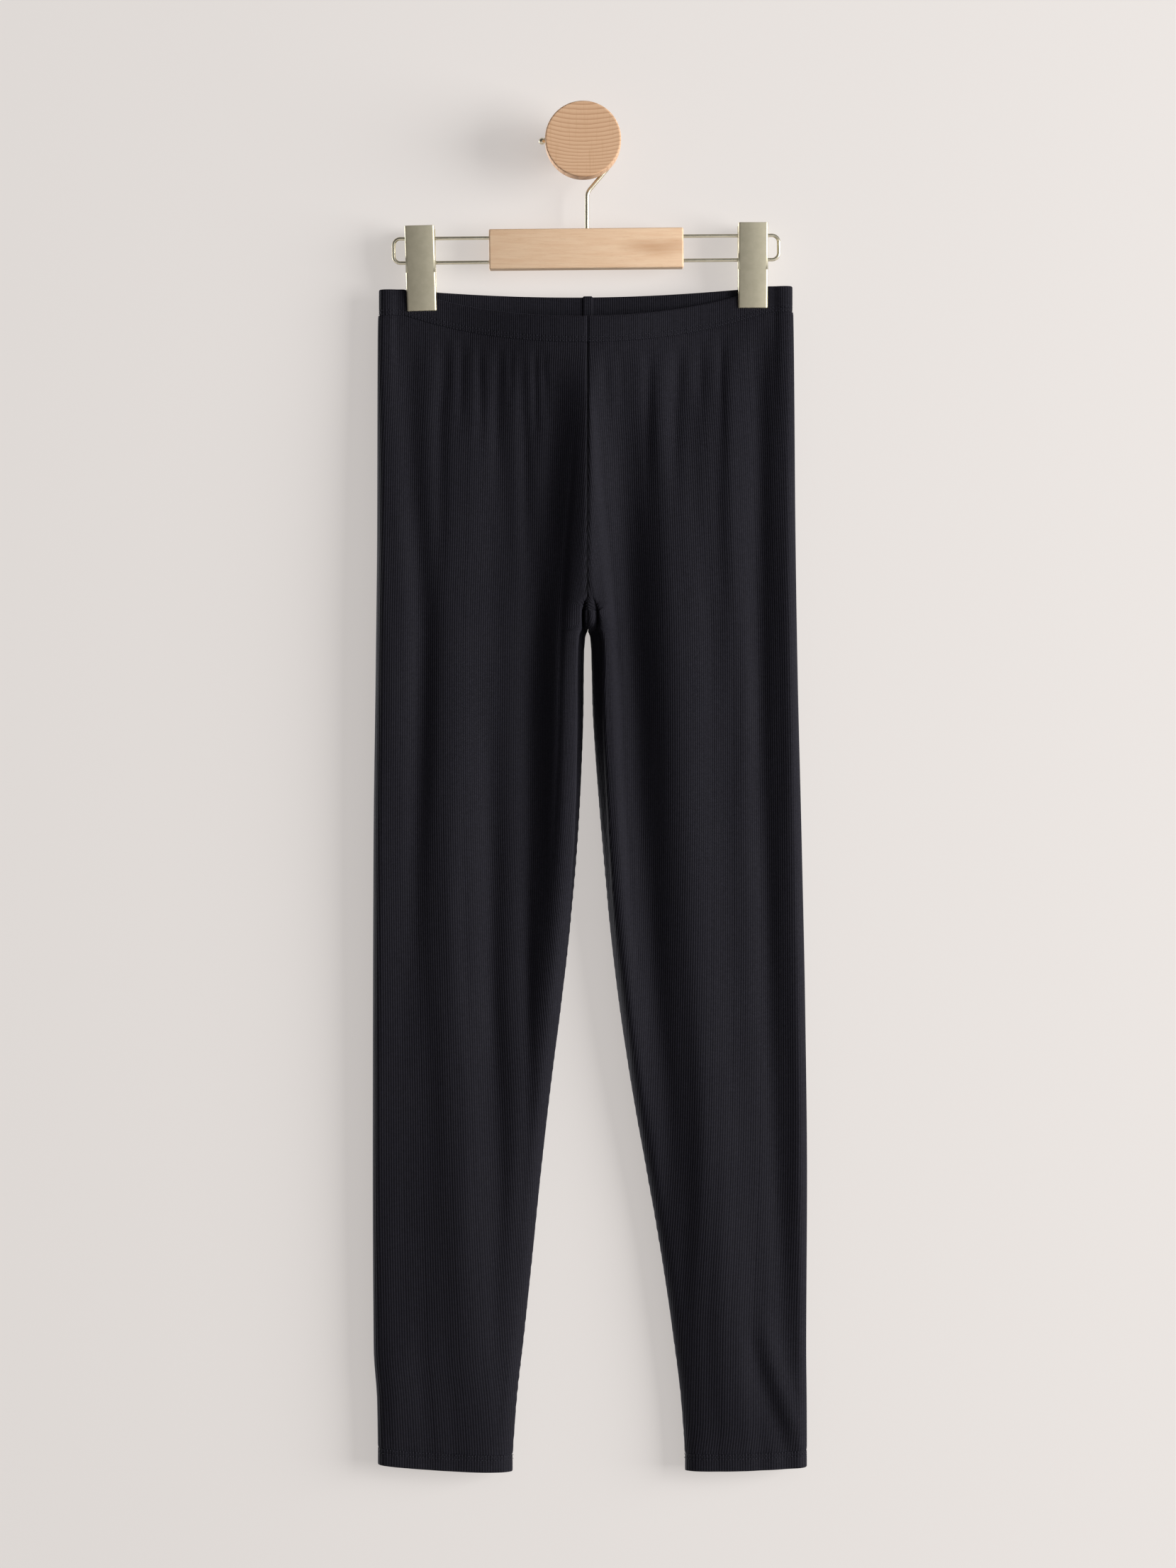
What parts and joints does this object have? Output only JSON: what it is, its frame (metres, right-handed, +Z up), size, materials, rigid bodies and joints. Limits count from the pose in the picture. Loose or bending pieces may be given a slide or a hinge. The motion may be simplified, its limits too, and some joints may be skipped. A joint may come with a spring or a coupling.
{
  "type": "leggings on a clip hanger and wall knob",
  "caption": "Ribbed jersey leggings with an elastic casing waist and turned hems, clipped in a wooden-bar clip hanger that hooks over a turned wall knob",
  "frame": {"origin": "the middle of the knob's flat back, on the wall, from which everything hangs", "axes": "+Y into the wall, square to the knob's back, +Z up, +X towards the wearer's left, which is the right of the picture"},
  "size_m": [0.3577, 0.054, 1.123],
  "materials": {
    "jersey": "matte fine rib jersey",
    "beech": "plain turned and planed beech",
    "nickel": "satin nickel"
  },
  "bodies": {
    "root": {"waist_casing": "jersey", "right_leg": "jersey", "left_leg": "jersey", "right_hem": "jersey", "left_hem": "jersey", "wall_knob": "beech", "hanger_block": "beech", "hanger_hook": "nickel", "right_rod": "nickel", "left_rod": "nickel", "right_clip_front_jaw": "nickel", "right_clip_back_jaw": "nickel", "right_clip_spring": "nickel", "left_clip_front_jaw": "nickel", "left_clip_back_jaw": "nickel", "left_clip_spring": "nickel"}
  },
  "joints": []
}
